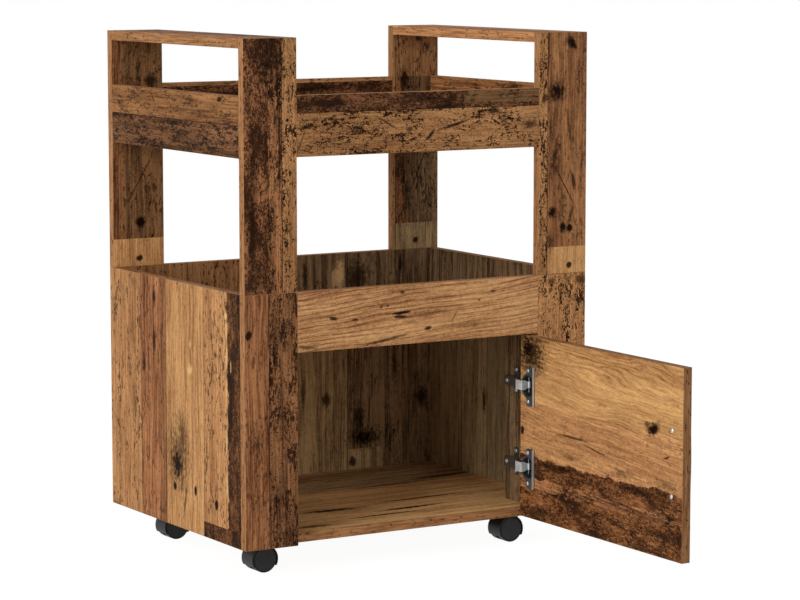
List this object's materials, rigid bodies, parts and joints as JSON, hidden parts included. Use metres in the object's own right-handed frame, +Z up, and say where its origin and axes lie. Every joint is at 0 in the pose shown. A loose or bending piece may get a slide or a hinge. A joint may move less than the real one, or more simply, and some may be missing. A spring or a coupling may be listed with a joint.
{
  "type": "kitchen cart",
  "caption": "Wooden kitchen cart on swivel casters: cupboard with a hinged door, sunk open shelf over it, and a bordered top tray between flat side handle bars",
  "frame": {"origin": "on the floor under the centre of the cart's footprint, midway between its outer side faces and its front and back faces, the open door not counted", "axes": "+Z up; the front with the door faces -Y; +X is to the right seen from the front, the side with the hinges"},
  "size_m": [0.6, 0.8542, 0.8],
  "materials": {
    "board": "printed old-wood decor on coated board, satin",
    "dowel_wood": "bare beech",
    "cam_metal": "die-cast zinc, dull",
    "hinge_steel": "nickel-plated pressed steel",
    "pin_steel": "plain drawn steel",
    "screw_steel": "bright zinc-plated steel",
    "handle_metal": "matt black",
    "caster_metal": "black coated steel",
    "caster_plastic": "satin moulded nylon",
    "wheel_plastic": "satin moulded nylon"
  },
  "bodies": {
    "cabinet": {"side_panel_left": "board", "side_panel_right": "board", "back_panel": "board", "bottom_board": "board", "middle_shelf": "board", "front_stile_left": "board", "front_stile_right": "board", "front_rail": "board", "hinge_batten": "board", "post_front_left": "board", "post_front_right": "board", "post_back_left": "board", "post_back_right": "board", "handle_bar_left": "board", "handle_bar_right": "board", "tray_board": "board", "tray_side_left": "board", "tray_side_right": "board", "tray_front": "board", "tray_back": "board", "dowels": "dowel_wood", "cam_bolts": "screw_steel", "cam_discs": "cam_metal", "hinge_arm_upper": "hinge_steel", "hinge_arm_lower": "hinge_steel", "hinge_plate_upper": "hinge_steel", "hinge_plate_lower": "hinge_steel", "hinge_screws": "screw_steel", "caster_stems": "pin_steel", "caster_screws": "screw_steel", "caster_plate_front_left": "caster_metal", "caster_plate_front_right": "caster_metal", "caster_plate_back_left": "caster_metal", "caster_plate_back_right": "caster_metal"},
    "door": {"door": "board", "door_handle": "handle_metal", "handle_screws": "screw_steel", "hinge_cup_upper": "hinge_steel", "hinge_cup_lower": "hinge_steel", "hinge_pins": "pin_steel", "cup_screws": "screw_steel"},
    "caster_front_left": {"caster_hood_front_left": "caster_plastic", "caster_axle_front_left": "pin_steel"},
    "wheel_front_left_a": {"wheel_front_left_a": "wheel_plastic"},
    "wheel_front_left_b": {"wheel_front_left_b": "wheel_plastic"},
    "caster_front_right": {"caster_hood_front_right": "caster_plastic", "caster_axle_front_right": "pin_steel"},
    "wheel_front_right_a": {"wheel_front_right_a": "wheel_plastic"},
    "wheel_front_right_b": {"wheel_front_right_b": "wheel_plastic"},
    "caster_back_left": {"caster_hood_back_left": "caster_plastic", "caster_axle_back_left": "pin_steel"},
    "wheel_back_left_a": {"wheel_back_left_a": "wheel_plastic"},
    "wheel_back_left_b": {"wheel_back_left_b": "wheel_plastic"},
    "caster_back_right": {"caster_hood_back_right": "caster_plastic", "caster_axle_back_right": "pin_steel"},
    "wheel_back_right_a": {"wheel_back_right_a": "wheel_plastic"},
    "wheel_back_right_b": {"wheel_back_right_b": "wheel_plastic"}
  },
  "joints": [
    {"name": "door_hinge", "type": "hinge", "parent": "cabinet", "child": "door", "pos_m": [0.2, -0.2192, 0.194], "axis": [0, 0, 1], "range_deg": [-90, 5]},
    {"name": "swivel_front_left", "type": "hinge", "parent": "cabinet", "child": "caster_front_left", "pos_m": [-0.22, -0.145, 0.04], "axis": [0, 0, 1], "continuous": true},
    {"name": "roll_front_left_a", "type": "hinge", "parent": "caster_front_left", "child": "wheel_front_left_a", "pos_m": [-0.234, -0.145, 0.02], "axis": [0, 1, 0], "continuous": true},
    {"name": "roll_front_left_b", "type": "hinge", "parent": "caster_front_left", "child": "wheel_front_left_b", "pos_m": [-0.234, -0.145, 0.02], "axis": [0, 1, 0], "continuous": true},
    {"name": "swivel_front_right", "type": "hinge", "parent": "cabinet", "child": "caster_front_right", "pos_m": [0.22, -0.145, 0.04], "axis": [0, 0, 1], "continuous": true},
    {"name": "roll_front_right_a", "type": "hinge", "parent": "caster_front_right", "child": "wheel_front_right_a", "pos_m": [0.206, -0.145, 0.02], "axis": [0, 1, 0], "continuous": true},
    {"name": "roll_front_right_b", "type": "hinge", "parent": "caster_front_right", "child": "wheel_front_right_b", "pos_m": [0.206, -0.145, 0.02], "axis": [0, 1, 0], "continuous": true},
    {"name": "swivel_back_left", "type": "hinge", "parent": "cabinet", "child": "caster_back_left", "pos_m": [-0.22, 0.145, 0.04], "axis": [0, 0, 1], "continuous": true},
    {"name": "roll_back_left_a", "type": "hinge", "parent": "caster_back_left", "child": "wheel_back_left_a", "pos_m": [-0.234, 0.145, 0.02], "axis": [0, 1, 0], "continuous": true},
    {"name": "roll_back_left_b", "type": "hinge", "parent": "caster_back_left", "child": "wheel_back_left_b", "pos_m": [-0.234, 0.145, 0.02], "axis": [0, 1, 0], "continuous": true},
    {"name": "swivel_back_right", "type": "hinge", "parent": "cabinet", "child": "caster_back_right", "pos_m": [0.22, 0.145, 0.04], "axis": [0, 0, 1], "continuous": true},
    {"name": "roll_back_right_a", "type": "hinge", "parent": "caster_back_right", "child": "wheel_back_right_a", "pos_m": [0.206, 0.145, 0.02], "axis": [0, 1, 0], "continuous": true},
    {"name": "roll_back_right_b", "type": "hinge", "parent": "caster_back_right", "child": "wheel_back_right_b", "pos_m": [0.206, 0.145, 0.02], "axis": [0, 1, 0], "continuous": true}
  ]
}
